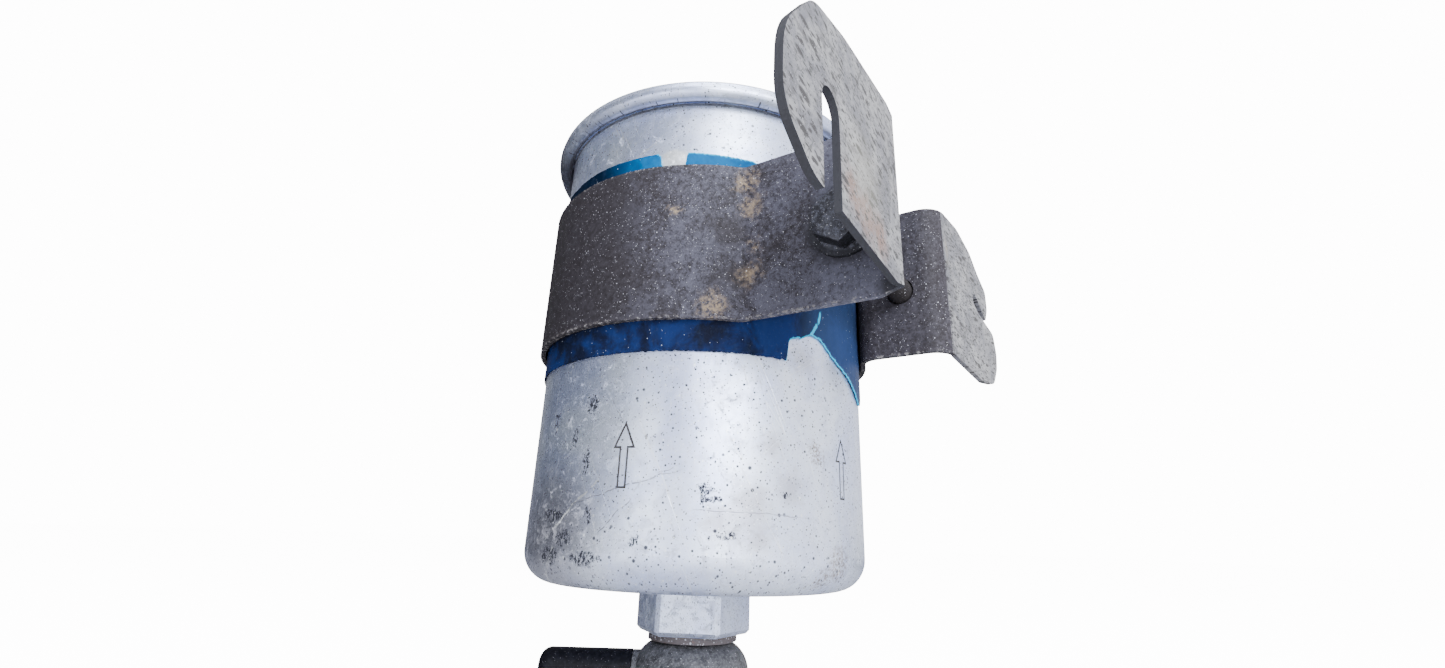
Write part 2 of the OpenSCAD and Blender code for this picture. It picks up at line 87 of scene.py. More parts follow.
# ---------------------------------------------------------------- shader helpers
class Shader:
    """A Principled material whose coordinates are millimetres, z from the can's flat bottom."""

    def __init__(self, name, metallic=0.0, roughness=0.5, specular=0.5, coat=0.0, coat_rough=0.1):
        self.mat = bpy.data.materials.new(name)
        self.mat.use_nodes = True
        self.tree = self.mat.node_tree
        self.bsdf = next(n for n in self.tree.nodes if n.type == "BSDF_PRINCIPLED")
        for key, v in (("Metallic", metallic), ("Roughness", roughness), ("Specular IOR Level", specular),
                       ("Coat Weight", coat), ("Coat Roughness", coat_rough)):
            self.bsdf.inputs[key].default_value = v
        coord = self.new("ShaderNodeTexCoord")
        scaled = self.new("ShaderNodeVectorMath", operation="MULTIPLY")
        self.link(coord.outputs["Object"], scaled.inputs[0])
        scaled.inputs[1].default_value = (1000, 1000, 1000)
        moved = self.new("ShaderNodeVectorMath", operation="ADD")
        self.link(scaled.outputs[0], moved.inputs[0])
        moved.inputs[1].default_value = (0, 0, OUTLET_H)
        self.pos = moved.outputs[0]
        self._cyl = None
        self._bump = None

    def new(self, kind, **props):
        node = self.tree.nodes.new(kind)
        for key, value in props.items():
            setattr(node, key, value)
        return node

    def link(self, source, target):
        if hasattr(source, "is_linked"):
            self.tree.links.new(source, target)
        else:
            target.default_value = source

    def math(self, op, a, b=0.0):
        node = self.new("ShaderNodeMath", operation=op)
        for value, socket in zip((a, b), node.inputs):
            self.link(value, socket)
        return node.outputs[0]

    def mul(self, a, b):
        return self.math("MULTIPLY", a, b)

    def add(self, a, b):
        return self.math("ADD", a, b)

    def top(self, a, b):
        return self.math("MAXIMUM", a, b)

    def inv(self, a):
        return self.math("SUBTRACT", 1.0, a)

    def span(self, value, low, high, a=0.0, b=1.0):
        """value from low..high eased to a..b; low may be the larger one."""
        node = self.new("ShaderNodeMapRange", interpolation_type="SMOOTHSTEP")
        self.link(value, node.inputs["Value"])
        for key, v in (("From Min", low), ("From Max", high), ("To Min", a), ("To Max", b)):
            node.inputs[key].default_value = v
        return node.outputs[0]

    def vec(self, x, y, z):
        node = self.new("ShaderNodeCombineXYZ")
        for value, socket in zip((x, y, z), node.inputs):
            self.link(value, socket)
        return node.outputs[0]

    def xyz(self, vector=None):
        node = self.new("ShaderNodeSeparateXYZ")
        self.link(vector or self.pos, node.inputs[0])
        return node.outputs

    def stretch(self, x, y, z, vector=None):
        node = self.new("ShaderNodeVectorMath", operation="MULTIPLY")
        self.link(vector or self.pos, node.inputs[0])
        node.inputs[1].default_value = (x, y, z)
        return node.outputs[0]

    def cyl(self):
        """(arc length round the can in mm at its wall, radius, height) as a vector."""
        if self._cyl is None:
            x, y, z = self.xyz()
            turn = self.math("ARCTAN2", y, x)
            radius = self.math("SQRT", self.add(self.mul(x, x), self.mul(y, y)))
            self._cyl = self.vec(self.mul(turn, WALL_R), radius, z)
        return self._cyl

    def noise(self, scale, detail=3.0, rough=0.5, warp=0.0, vector=None):
        node = self.new("ShaderNodeTexNoise")
        self.link(vector or self.pos, node.inputs["Vector"])
        for key, v in (("Scale", scale), ("Detail", detail), ("Roughness", rough), ("Distortion", warp)):
            node.inputs[key].default_value = v
        return node.outputs["Fac"]

    def cells(self, scale, vector=None):
        node = self.new("ShaderNodeTexVoronoi")
        self.link(vector or self.pos, node.inputs["Vector"])
        node.inputs["Scale"].default_value = scale
        return node.outputs["Distance"]

    def specks(self, scale, size, amount, vector=None):
        """Round specks: size is the speck's share of a cell, amount thins them out by patches."""
        near = self.span(self.cells(scale, vector), size * 0.55, size, 1.0, 0.0)
        patches = self.noise(scale * 0.37, 2.0, 0.6, vector=vector)
        patch = self.span(patches, 1 - amount - 0.08, 1 - amount + 0.04)
        return self.mul(near, patch)

    def dots(self, scale, size, amount, flat):
        """Round dots on an unrolled surface: size in mm, amount thins them out by patches."""
        node = self.new("ShaderNodeTexVoronoi", voronoi_dimensions="2D")
        self.link(flat, node.inputs["Vector"])
        node.inputs["Scale"].default_value = scale
        uneven = self.span(self.noise(scale * 1.3, 1.0, 0.5, vector=flat), 0.35, 0.65, 0.25, 1.0)
        distance = self.math("DIVIDE", node.outputs["Distance"], uneven)
        near = self.span(distance, size * scale * 0.55, size * scale, 1.0, 0.0)
        patches = self.noise(scale * 0.4, 2.0, 0.6, vector=flat)
        patch = self.span(patches, 1 - amount - 0.05, 1 - amount + 0.03)
        return self.mul(near, patch)

    def scratches(self, scale, angle, length, width, amount, vector=None):
        """Thin straight lines in the plane of the first and third coordinates."""
        node = self.new("ShaderNodeMapping")
        self.link(vector or self.pos, node.inputs["Vector"])
        node.inputs["Rotation"].default_value = (0, math.radians(angle), 0)
        stretched = self.stretch(1.0 / length, 1.0 / length, 1.0, node.outputs[0])
        line = self.noise(scale, 1.0, 0.4, vector=stretched)
        off = self.math("ABSOLUTE", self.math("SUBTRACT", line, 0.5))
        near = self.span(off, width * 0.4, width, 1.0, 0.0)
        patches = self.noise(scale * 0.6, 2.0, 0.6, vector=stretched)
        patch = self.span(patches, 1 - amount, 1 - amount + 0.06)
        return self.mul(near, patch)

    def spot(self, centre, radius, soft=0.5, ragged=0.0, grain=0.35, shape=(1, 1, 1)):
        """A stain round a point: 1 inside, fading to 0 at radius, with a ragged edge."""
        node = self.new("ShaderNodeVectorMath", operation="SUBTRACT")
        self.link(self.pos, node.inputs[0])
        node.inputs[1].default_value = centre
        squashed = self.stretch(*[1 / s for s in shape], vector=node.outputs[0])
        length = self.new("ShaderNodeVectorMath", operation="LENGTH")
        self.link(squashed, length.inputs[0])
        distance = length.outputs["Value"]
        if ragged:
            wobble = self.mul(self.math("SUBTRACT", self.noise(grain, 4.0, 0.65), 0.5), ragged * 2)
            distance = self.add(distance, wobble)
        return self.span(distance, radius * (1 - soft), radius, 1.0, 0.0)

    def mix(self, factor, a, b):
        node = self.new("ShaderNodeMix", data_type="RGBA", clamp_factor=True)
        self.link(factor, node.inputs[0])
        for value, index in ((a, 6), (b, 7)):
            if isinstance(value, tuple):
                node.inputs[index].default_value = (*value[:3], 1.0)
            else:
                self.link(value, node.inputs[index])
        return node.outputs[2]

    def blend(self, factor, a, b):
        """Plain numbers mixed by a factor."""
        node = self.new("ShaderNodeMix", data_type="FLOAT", clamp_factor=True)
        self.link(factor, node.inputs[0])
        self.link(a, node.inputs[2])
        self.link(b, node.inputs[3])
        return node.outputs[0]

    def bump(self, height, depth_mm, strength=1.0):
        node = self.new("ShaderNodeBump")
        self.link(height, node.inputs["Height"])
        node.inputs["Distance"].default_value = depth_mm * MM
        node.inputs["Strength"].default_value = strength
        if self._bump is not None:
            self.link(self._bump, node.inputs["Normal"])
        self._bump = node.outputs[0]

    def done(self, color, roughness=None, metallic=None):
        self.link(color, self.bsdf.inputs["Base Color"])
        if roughness is not None:
            self.link(roughness, self.bsdf.inputs["Roughness"])
        if metallic is not None:
            self.link(metallic, self.bsdf.inputs["Metallic"])
        if self._bump is not None:
            self.link(self._bump, self.bsdf.inputs["Normal"])
        return self.mat


def around(direction, height, radius=WALL_R):
    """A point on the can's wall, for stains: direction in degrees, height in mm."""
    a = math.radians(direction)
    return (radius * math.cos(a), radius * math.sin(a), height)


# ---------------------------------------------------------------- materials
DARK_SCUFFS = [  # direction, height, radius, stretch along the wall, stretch up
    (-90.7, 35.4, 2.6, 0.8, 1.0), (-90.9, 24.2, 2.4, 0.5, 1.3), (-107.9, 33.0, 2.2, 0.6, 1.3),
    (-96.7, 29.0, 1.8, 0.6, 1.2), (-103.6, 13.7, 3.4, 1.5, 0.5), (-88.3, 13.7, 1.8, 0.6, 1.2),
    (-97.3, 9.5, 2.4, 1.2, 0.8), (-88.6, 6.0, 2.8, 1.4, 0.6), (-103.7, 6.1, 3.0, 1.3, 0.7),
    (-54.8, 18.7, 1.5, 1.0, 0.8), (-53.0, 17.0, 1.3, 1.4, 0.5), (-48.4, 10.7, 1.1, 1.2, 0.7),
    (-73.1, 9.3, 1.0, 0.8, 1.0), (-31.4, 18.4, 0.9, 0.9, 0.8), (120.0, 22.0, 3.0, 0.8, 1.2),
    (165.0, 33.0, 3.2, 1.4, 0.5), (75.0, 12.0, 3.0, 1.3, 0.7), (40.0, 30.0, 2.2, 0.6, 1.3)]
BROWN_STAINS = [  # direction, height, radius
    (-10.2, 6.1, 4.6), (-16.6, 2.5, 3.6), (-19.7, 26.6, 2.4), (-21.0, 28.5, 1.8), (200.0, 14.0, 4.0)]
GREY_SMUDGES_AND_SHADE = [  # direction, height, radius; the three wide ones low on the left, at -113, -105 and -99 degrees, are painted shade
    (-42.4, 17.3, 5.5), (-51.8, 13.5, 4.5), (-40.1, 9.8, 3.6), (-25.2, 46.5, 5.0), (-36.0, 28.0, 4.0),
    (-113.0, 9.0, 22.0), (-105.0, 6.0, 20.0), (-99.0, 13.0, 16.0), (-44.0, 14.0, 9.0), (-30.0, 20.0, 5.0),
    (100.0, 30.0, 6.0), (150.0, 12.0, 6.0)]
SCRATCHES = [  # two ends as direction and height, then the width
    (-100.0, 14.7, -59.0, 22.8, 0.16), (-85.8, 9.7, -73.8, 17.5, 0.14), (-62.5, 15.0, -21.2, 14.8, 0.14),
    (-84.0, 36.5, -79.5, 32.0, 0.12), (-70.0, 20.5, -62.0, 23.5, 0.1), (60.0, 20.0, 95.0, 31.0, 0.14),
    (130.0, 8.0, 175.0, 17.0, 0.14), (180.0, 38.0, 230.0, 30.0, 0.12)]


def arc_line(s, wall, start, height_a, end, height_b, width):
    """A scratch on the can's wall between two points: 1 on the line, 0 beside it."""
    if abs(start) > 180 or abs(end) > 180:
        start, end = start - 360, end - 360
    ax, az = arc(start), height_a
    bx, bz = arc(end), height_b
    length = math.hypot(bx - ax, bz - az)
    ux, uz = (bx - ax) / length, (bz - az) / length
    x, _, z = s.xyz(wall)
    dx, dz = s.add(x, -ax), s.add(z, -az)
    along = s.add(s.mul(dx, ux), s.mul(dz, uz))
    wobble = s.mul(s.add(s.noise(0.25, 2.0, vector=wall), -0.5), 1.6)
    off = s.math("ABSOLUTE", s.add(s.add(s.mul(dx, -uz), s.mul(dz, ux)), wobble))
    near = s.span(off, width * 0.4, width, 1.0, 0.0)
    inside = s.mul(s.span(along, 0.0, length * 0.2), s.span(along, length * 0.8, length, 1.0, 0.0))
    broken = s.span(s.noise(0.9, 2.0, vector=wall), 0.38, 0.5)
    return s.mul(s.mul(near, inside), broken)


def can_alloy():
    """Satin aluminium that lay in an engine bay: cloudy, scuffed, scratched and specked with dirt."""
    s = Shader("can_alloy", metallic=0.86, roughness=0.36, specular=0.4)
    wall = s.cyl()
    turn, radius, height = s.xyz(wall)
    flat = s.vec(turn, height, 0.0)
    cloud = s.noise(0.05, 4.0, 0.6, 0.4)
    blotch = s.noise(0.3, 5.0, 0.62, 0.5)
    fine = s.noise(2.4, 5.0, 0.7)
    brushed = s.noise(1.0, 3.0, 0.6, vector=s.stretch(2.4, 1.0, 0.10, wall))
    color = s.mix(s.span(cloud, 0.36, 0.66), (0.56, 0.63, 0.90), (0.76, 0.83, 1.0))
    color = s.mix(s.mul(s.span(blotch, 0.46, 0.70), 0.5), color, (0.46, 0.49, 0.64))
    color = s.mix(s.mul(s.span(brushed, 0.5, 0.75), 0.30), color, (0.86, 0.91, 1.0))
    color = s.mix(s.mul(s.span(fine, 0.54, 0.74), 0.45), color, (0.90, 0.93, 1.0))
    # grey film of dirt in patches, a little more of it low down; grey smudges, and wide painted shade low on
    # one side
    low = s.span(height, 0.0, 26.0, 1.0, 0.0)
    film = s.span(s.add(s.noise(0.45, 6.0, 0.78, 0.7), s.mul(low, 0.06)), 0.54, 0.70)
    color = s.mix(s.mul(film, 0.60), color, (0.30, 0.31, 0.37))
    for direction, z, size in GREY_SMUDGES_AND_SHADE:
        patch = s.spot(around(direction, z), size, 0.9, 2.6, 0.5)
        color = s.mix(s.mul(patch, 0.5), color, (0.34, 0.33, 0.36))
    for direction, z, size in BROWN_STAINS:
        patch = s.spot(around(direction, z), size, 0.6, 2.8, 0.9)
        patch = s.mul(patch, s.span(s.noise(1.6, 4.0, 0.7), 0.4, 0.62))
        color = s.mix(s.mul(patch, 0.8), color, (0.20, 0.15, 0.12))
    dark = s.dots(0.22, 0.46, 0.50, flat)
    dark = s.top(dark, s.top(s.dots(0.45, 0.30, 0.54, flat), s.dots(0.9, 0.19, 0.56, flat)))
    chips = s.span(s.noise(1.5, 5.0, 0.72, 1.0, s.stretch(1.2, 1.0, 0.65, wall)), 0.478, 0.502)
    for direction, z, size, wide, tall in DARK_SCUFFS:
        patch = s.spot(around(direction, z), size * 1.1, 0.45, 2.4, 0.9, (wide, wide, tall))
        dark = s.top(dark, s.mul(patch, s.top(s.mul(chips, 1.2), 0.16)))
    color = s.mix(s.mul(dark, 0.93), color, (0.020, 0.020, 0.030))
    pale = s.top(s.dots(0.35, 0.30, 0.44, s.stretch(1.0, 0.8, 1.0, flat)),
                 s.dots(0.8, 0.20, 0.46, s.stretch(0.9, 1.0, 1.0, flat)))
    color = s.mix(s.mul(pale, 0.6), color, (0.93, 0.96, 1.0))
    scratch = s.top(s.scratches(0.5, 38, 14, 0.010, 0.44, wall),
                    s.scratches(0.4, -64, 18, 0.010, 0.42, wall))
    lines = 0.0
    for start, za, end, zb, width in SCRATCHES:
        lines = s.top(lines, arc_line(s, wall, start, za, end, zb, width))
    scored = s.top(arc_line(s, wall, -104.0, 10.0, -84.0, 21.5, 0.30),
                   arc_line(s, wall, 110.0, 24.0, 150.0, 35.0, 0.30))
    color = s.mix(s.top(s.mul(scratch, 0.35), s.mul(scored, 0.7)), color, (0.97, 0.98, 1.0))
    color = s.mix(s.mul(lines, 0.75), color, (0.22, 0.22, 0.27))
    # painted shade in the crease under the seam; the pressed arrows and the hexagon's root are darkened
    arrows = s.mul(s.span(height, 17.5, 18.2), s.span(height, 32.2, 33.0, 1.0, 0.0))
    groove = s.mul(s.span(radius, 39.86, 39.99, 1.0, 0.0), arrows)
    groove = s.mul(groove, s.span(radius, 39.2, 39.5))
    crease_shade = s.mul(s.span(s.math("ABSOLUTE", s.add(height, -CREASE_H)), 0.15, 0.75, 1.0, 0.0),
                   s.mul(s.span(radius, 39.8, 40.0), s.span(radius, 41.2, 41.8, 1.0, 0.0)))
    crease_shade = s.mul(crease_shade, s.span(s.noise(0.2, 4.0, 0.7, vector=wall), 0.25, 0.55, 0.75, 1.0))
    root = s.mul(s.span(height, -1.6, 0.6),
                 s.mul(s.span(radius, 12.0, 17.5, 1.0, 0.0), s.span(height, 0.6, 1.4, 1.0, 0.0)))
    rim = s.mul(s.span(height, 92.0, 106.5), s.mul(s.span(s.noise(0.7, 6.0, 0.75), 0.54, 0.68), 0.55))
    hidden = s.top(groove, s.top(s.mul(crease_shade, 0.88), s.mul(root, 0.45)))
    color = s.mix(hidden, color, (0.05, 0.045, 0.05))
    # painted shade on the seam: darker underneath and on the side away from the bracket, where the light
    # comes from
    away = s.mul(s.span(turn, arc(-108), arc(-134)), s.span(turn, arc(-176), arc(-146)))
    away = s.mul(away, s.mul(s.span(height, 110.0, 108.6), s.span(radius, 39.2, 39.7)))
    away = s.mul(s.mul(away, s.span(height, 92.0, 105.0, 0.35, 1.0)), s.span(height, 90.0, 92.0, 0.0, 0.8))
    under = s.mul(s.span(radius, 40.6, 41.6), s.span(height, 108.6, 105.4))
    seam_shade = s.mul(s.top(s.mul(under, 0.45), away), s.span(blotch, 0.25, 0.55, 0.6, 1.0))
    color = s.mix(seam_shade, color, (0.075, 0.075, 0.095))
    color = s.mix(s.mul(rim, s.span(s.noise(0.12, 3.0, 0.6), 0.45, 0.7)), color, (0.40, 0.37, 0.36))
    # pale traces of old glue where the film has come away
    glue = s.spot(around(-69.0, 91.2), 4.2, 0.35, 0.8, 0.8, (1.0, 1.0, 0.75))
    color = s.mix(s.mul(glue, 0.75), color, (0.97, 0.98, 1.0))
    rough = s.blend(s.span(blotch, 0.4, 0.75), 0.33, 0.46)
    rough = s.blend(s.top(film, dark), rough, 0.68)
    s.bump(fine, 0.020, 0.6)
    s.bump(s.mul(s.top(scratch, lines), -1.0), 0.03, 0.7)
    s.bump(brushed, 0.012, 0.5)
    metal = s.blend(s.top(s.top(dark, hidden), film), 0.86, 0.30)
    return s.done(color, rough, metal)


FILM_RIM = "rim"  # mesh attribute: how near the film's torn edges are


def film_blue():
    """Thin blue film dulled by dirt: deep blue low down, cyan near its upper edge and where it is torn."""
    s = Shader("film_blue", roughness=0.60, specular=0.025, coat=0.01, coat_rough=0.45)
    wall = s.cyl()
    turn, _, height = s.xyz(wall)
    cloud = s.noise(0.11, 5.0, 0.65, 0.5)
    streak = s.noise(0.5, 4.0, 0.65, vector=s.stretch(1.0, 1.0, 0.28, wall))
    navy, royal = (0.006, 0.008, 0.020), (0.009, 0.021, 0.088)
    deep = s.mix(s.span(cloud, 0.38, 0.62), navy, royal)
    # paler on the side where nothing backs the film tightly
    slack = s.mul(s.span(turn, arc(-31), arc(-19)), s.span(turn, arc(165), arc(120)))
    deep = s.mix(s.mul(slack, 0.75), deep, (0.022, 0.042, 0.105))
    teal = s.mix(s.span(cloud, 0.35, 0.65), (0.0, 0.055, 0.165), (0.0, 0.108, 0.28))
    # painted shade: the cyan band goes near-black on the left, the side away from the light
    side = s.top(s.span(turn, arc(-98), arc(-76)), s.span(turn, arc(-135), arc(-172)))
    teal = s.mix(side, (0.001, 0.006, 0.018), teal)
    color = s.mix(s.span(s.add(height, s.mul(s.add(cloud, -0.5), 60.0)), 66.0, 80.0), deep, teal)
    color = s.mix(s.mul(s.span(streak, 0.52, 0.72), 0.08), color, (0.04, 0.07, 0.14))
    dust = s.span(s.noise(1.1, 6.0, 0.75, 0.6), 0.54, 0.72)
    color = s.mix(s.mul(dust, 0.15), color, (0.07, 0.10, 0.17))
    edge = s.new("ShaderNodeAttribute", attribute_name=FILM_RIM).outputs["Fac"]
    ragged = s.span(s.add(edge, s.mul(s.add(s.noise(1.4, 3.0, 0.6), -0.5), 0.7)), 0.35, 0.75)
    color = s.mix(ragged, color, (0.02, 0.38, 0.62))
    specks = s.top(s.specks(0.5, 0.085, 0.44), s.specks(1.1, 0.11, 0.44))
    color = s.mix(s.mul(specks, 0.7), color, (0.50, 0.55, 0.64))
    s.bump(streak, 0.05, 0.5)
    s.bump(s.noise(1.8, 3.0, 0.6), 0.05, 0.5)
    return s.done(color, s.blend(dust, 0.46, 0.65))


OCHRE = [  # direction, height, radius
    (-45.6, 84.0, 4.2), (-43.3, 78.0, 4.6), (-41.6, 68.5, 4.2), (-43.9, 62.0, 4.6), (-55.0, 55.0, 4.4),
    (-67.0, 77.0, 2.0), (150.0, 60.0, 5.0), (95.0, 80.0, 4.0)]
PALE_DUST = [  # direction, height, radius
    (-80.5, 84.4, 2.5), (-61.0, 70.7, 6.0), (-66.9, 58.5, 8.0), (-31.8, 73.0, 6.0), (-37.0, 83.0, 6.0),
    (-56.0, 84.5, 6.0), (-52.0, 58.0, 6.0), (-76.0, 56.0, 5.0), (60.0, 70.0, 9.0), (170.0, 76.0, 9.0),
    (215.0, 60.0, 8.0)]
SOOT = [  # direction, height, radius, stretch along the band, stretch up
    (-84.7, 81.2, 2.2, 0.45, 1.6), (-87.4, 69.7, 2.0, 0.45, 1.5), (-50.7, 72.0, 5.5, 1.0, 1.0),
    (-28.3, 66.0, 4.5, 1.0, 1.0), (-48.0, 62.0, 4.0, 1.0, 1.0), (-24.0, 57.0, 3.0, 1.0, 1.0)]


def strap_steel():
    """Painted sheet, dark under a coat of dust; the outer faces of the flanges are rubbed bare and pale."""
    s = Shader("strap_steel", metallic=0.1, roughness=0.66, specular=0.22)
    wall = s.cyl()
    turn, radius, height = s.xyz(wall)
    x, y, z = s.xyz()
    facing = s.new("ShaderNodeNewGeometry").outputs["True Normal"]
    cloud = s.noise(0.12, 3.0, 0.55, 0.5)
    grain = s.noise(0.9, 7.0, 0.82, 0.3)
    sand = s.noise(2.6, 4.0, 0.8)
    color = s.mix(s.span(grain, 0.38, 0.68), (0.015, 0.012, 0.015), (0.044, 0.039, 0.047))
    # dust: thin on the left of the band, thick on its front; the thin dust and the darkening on the left are
    # partly painted shade, away from the light
    front = s.span(turn, arc(-90), arc(-62))
    back = s.span(turn, arc(-20), arc(8))
    thick = s.blend(front, 0.10, 0.92)
    dust = s.add(s.add(s.mul(cloud, 0.42), s.mul(grain, 0.58)), s.mul(s.add(sand, -0.5), 0.6))
    dust = s.mul(s.span(dust, 0.40, 0.60), thick)
    # the front leg gets thicker pale dust: partly dust, partly painted light where the flange shades it
    leg = s.mul(s.span(x, 43.0, 47.0), s.span(y, -28.0, -30.0))
    dust = s.mul(s.top(dust, s.mul(leg, s.span(grain, 0.34, 0.56, 0.3, 1.0))), s.blend(back, 1.0, 0.22))
    for direction, h, size in PALE_DUST:
        patch = s.spot(around(direction, h, BAND_R), size, 0.95, 4.0, 0.4)
        grainy = s.span(s.add(grain, s.mul(s.add(sand, -0.5), 0.9)), 0.36, 0.64, 0.05, 0.65)
        dust = s.top(dust, s.mul(patch, grainy))
    for direction, h, size, wide, tall in SOOT:
        patch = s.spot(around(direction, h, BAND_R), size, 0.7, 1.6, 0.7, (wide, wide, tall))
        dust = s.mul(dust, s.inv(s.mul(patch, 0.8)))
    color = s.mix(s.mul(dust, s.blend(leg, 0.52, 0.72)), color, (0.120, 0.121, 0.168))
    # painted shade: the band is darkened further on its left, away from the light
    color = s.mix(s.mul(s.inv(front), 0.45), color, (0.012, 0.010, 0.012))
    for direction, h, size in OCHRE:
        patch = s.spot(around(direction, h, BAND_R), size, 0.95, 3.4, 0.5)
        patch = s.mul(patch, s.span(s.noise(0.9, 5.0, 0.7), 0.40, 0.60))
        color = s.mix(s.mul(patch, 0.80), color, (0.30, 0.22, 0.14))
    # grime round the clamp screw; the bend's lower corner is darkened
    ring = s.spot((51.5, -31.0, 68.2), 9.6, 0.25, 1.6, 0.6)
    color = s.mix(s.mul(s.mul(ring, s.span(y, -28.0, -29.5)), 0.75), color, (0.020, 0.019, 0.024))
    corner = s.spot((61.2, -30.4, 53.6), 5.0, 0.5, 1.0, 0.6)
    color = s.mix(s.mul(corner, 0.8), color, (0.018, 0.018, 0.022))
    # bare faces of the two flanges, their marks drawn out along Y
    face = s.vec(s.mul(y, 0.35), z, 0.0)
    sx, _, _ = s.xyz(facing)
    out_front = s.mul(s.span(x, FLANGE_X - 0.25, FLANGE_X - 0.12), s.span(sx, 0.90, 0.97))
    across = s.add(s.mul(x, BACK_N[0]), s.mul(y, BACK_N[1]))
    along = s.add(s.mul(x, -BACK_N[1]), s.mul(y, BACK_N[0]))
    out_back = s.mul(s.span(y, 10.0, 12.5), s.span(across, 56.5, 59.9))
    bare = s.mix(s.span(s.noise(0.12, 5.0, 0.62, 0.4), 0.36, 0.66), (0.17, 0.17, 0.195), (0.33, 0.325, 0.335))
    mottle = s.span(s.noise(0.45, 7.0, 0.82, 1.0, face), 0.48, 0.60)
    bare = s.mix(s.mul(mottle, 0.85), bare, (0.105, 0.102, 0.112))
    bare = s.mix(s.mul(s.span(sand, 0.55, 0.75), 0.35), bare, (0.66, 0.66, 0.66))
    for centre, size in (((61.6, -56.0, 58.0), 5.5), ((61.6, -50.5, 57.0), 6.0), ((61.6, -43.7, 56.5), 6.0)):
        patch = s.mul(s.spot(centre, size, 0.9, 3.0, 0.35), s.span(s.noise(0.5, 5.0, 0.7), 0.28, 0.52))
        bare = s.mix(s.mul(patch, 0.9), bare, (0.235, 0.145, 0.12))
    flecks = s.top(s.specks(0.6, 0.16, 0.62), s.specks(1.2, 0.24, 0.62))
    bare = s.mix(s.mul(flecks, 0.9), bare, (0.045, 0.04, 0.045))
    pits = s.top(s.dots(0.55, 0.50, 0.58, face), s.dots(1.1, 0.30, 0.60, face))
    pits = s.top(s.dots(0.26, 0.85, 0.54, face), pits)
    upright = s.vec(y, 0.0, z)
    nicks = s.top(s.scratches(0.5, 65, 9, 0.014, 0.5, upright),
                  s.scratches(0.45, -30, 12, 0.012, 0.46, upright))
    bare = s.mix(s.mul(s.top(pits, s.mul(nicks, 0.6)), 0.92), bare, (0.03, 0.028, 0.03))
    yellow = s.spot((61.6, -50.0, 64.0), 12.0, 1.0, 3.0, 0.3)
    bare = s.mix(s.mul(yellow, 0.25), bare, (0.46, 0.44, 0.36))
    beige = s.spot((60.6, 9.6, 79.5), 4.2, 0.8, 1.6, 0.4, (1.0, 0.8, 1.6))
    # the back flange turns pale over the bend, following the bend's shading: partly bare metal, partly
    # painted light
    reach = s.add(along, s.mul(s.add(s.noise(0.22, 4.0, 0.65), -0.5), 9.0))
    pale_over_bend = s.span(reach, 13.0, 24.0)
    bare_back = s.mix(pale_over_bend, color, bare)
    bare_back = s.mix(s.mul(beige, 0.7), bare_back, (0.52, 0.44, 0.31))
    color = s.mix(s.mul(out_front, 0.97), color, bare)
    color = s.mix(out_back, color, bare_back)
    # cut edges are nearly black, with the paint rubbed through here and there
    cut = s.mul(s.span(x, 59.1, 59.4), s.mul(s.span(sx, 0.6, 0.3), s.span(y, -30.2, -32.4)))
    color = s.mix(s.mul(cut, 0.93), color, (0.022, 0.022, 0.026))
    rub = s.span(s.noise(1.0, 4.0, 0.7, vector=wall), 0.50, 0.62)
    lower = s.mul(s.span(height, BAND_LOW + 0.15, BAND_LOW + 0.9, 1.0, 0.0), s.inv(s.top(out_front, cut)))
    upper = s.span(height, BAND_HIGH - 0.7, BAND_HIGH - 0.1)
    rub = s.mul(s.top(lower, s.mul(upper, s.span(radius, 44.0, 43.0))), rub)
    color = s.mix(s.mul(rub, 0.5), color, (0.30, 0.28, 0.28))
    grit = s.top(s.specks(0.6, 0.09, 0.50), s.top(s.specks(1.0, 0.11, 0.50), s.specks(2.0, 0.15, 0.52)))
    color = s.mix(s.mul(s.mul(grit, s.inv(cut)), 0.80), color, (0.62, 0.62, 0.68))
    soot = s.top(s.specks(0.5, 0.12, 0.46), s.specks(1.2, 0.16, 0.48))
    color = s.mix(s.mul(soot, 0.6), color, (0.015, 0.015, 0.018))
    plain = s.inv(cut)
    s.bump(s.mul(s.noise(0.25, 3.0, 0.5), plain), 0.25, 0.5)
    s.bump(s.mul(grain, plain), 0.10, 0.7)
    s.bump(s.mul(sand, plain), 0.05, 0.7)
    rough = s.blend(s.top(out_front, s.mul(out_back, pale_over_bend)), 0.66, 0.50)
    metal = s.mul(s.top(out_front, s.mul(out_back, pale_over_bend)), 0.35)
    return s.done(color, rough, metal)


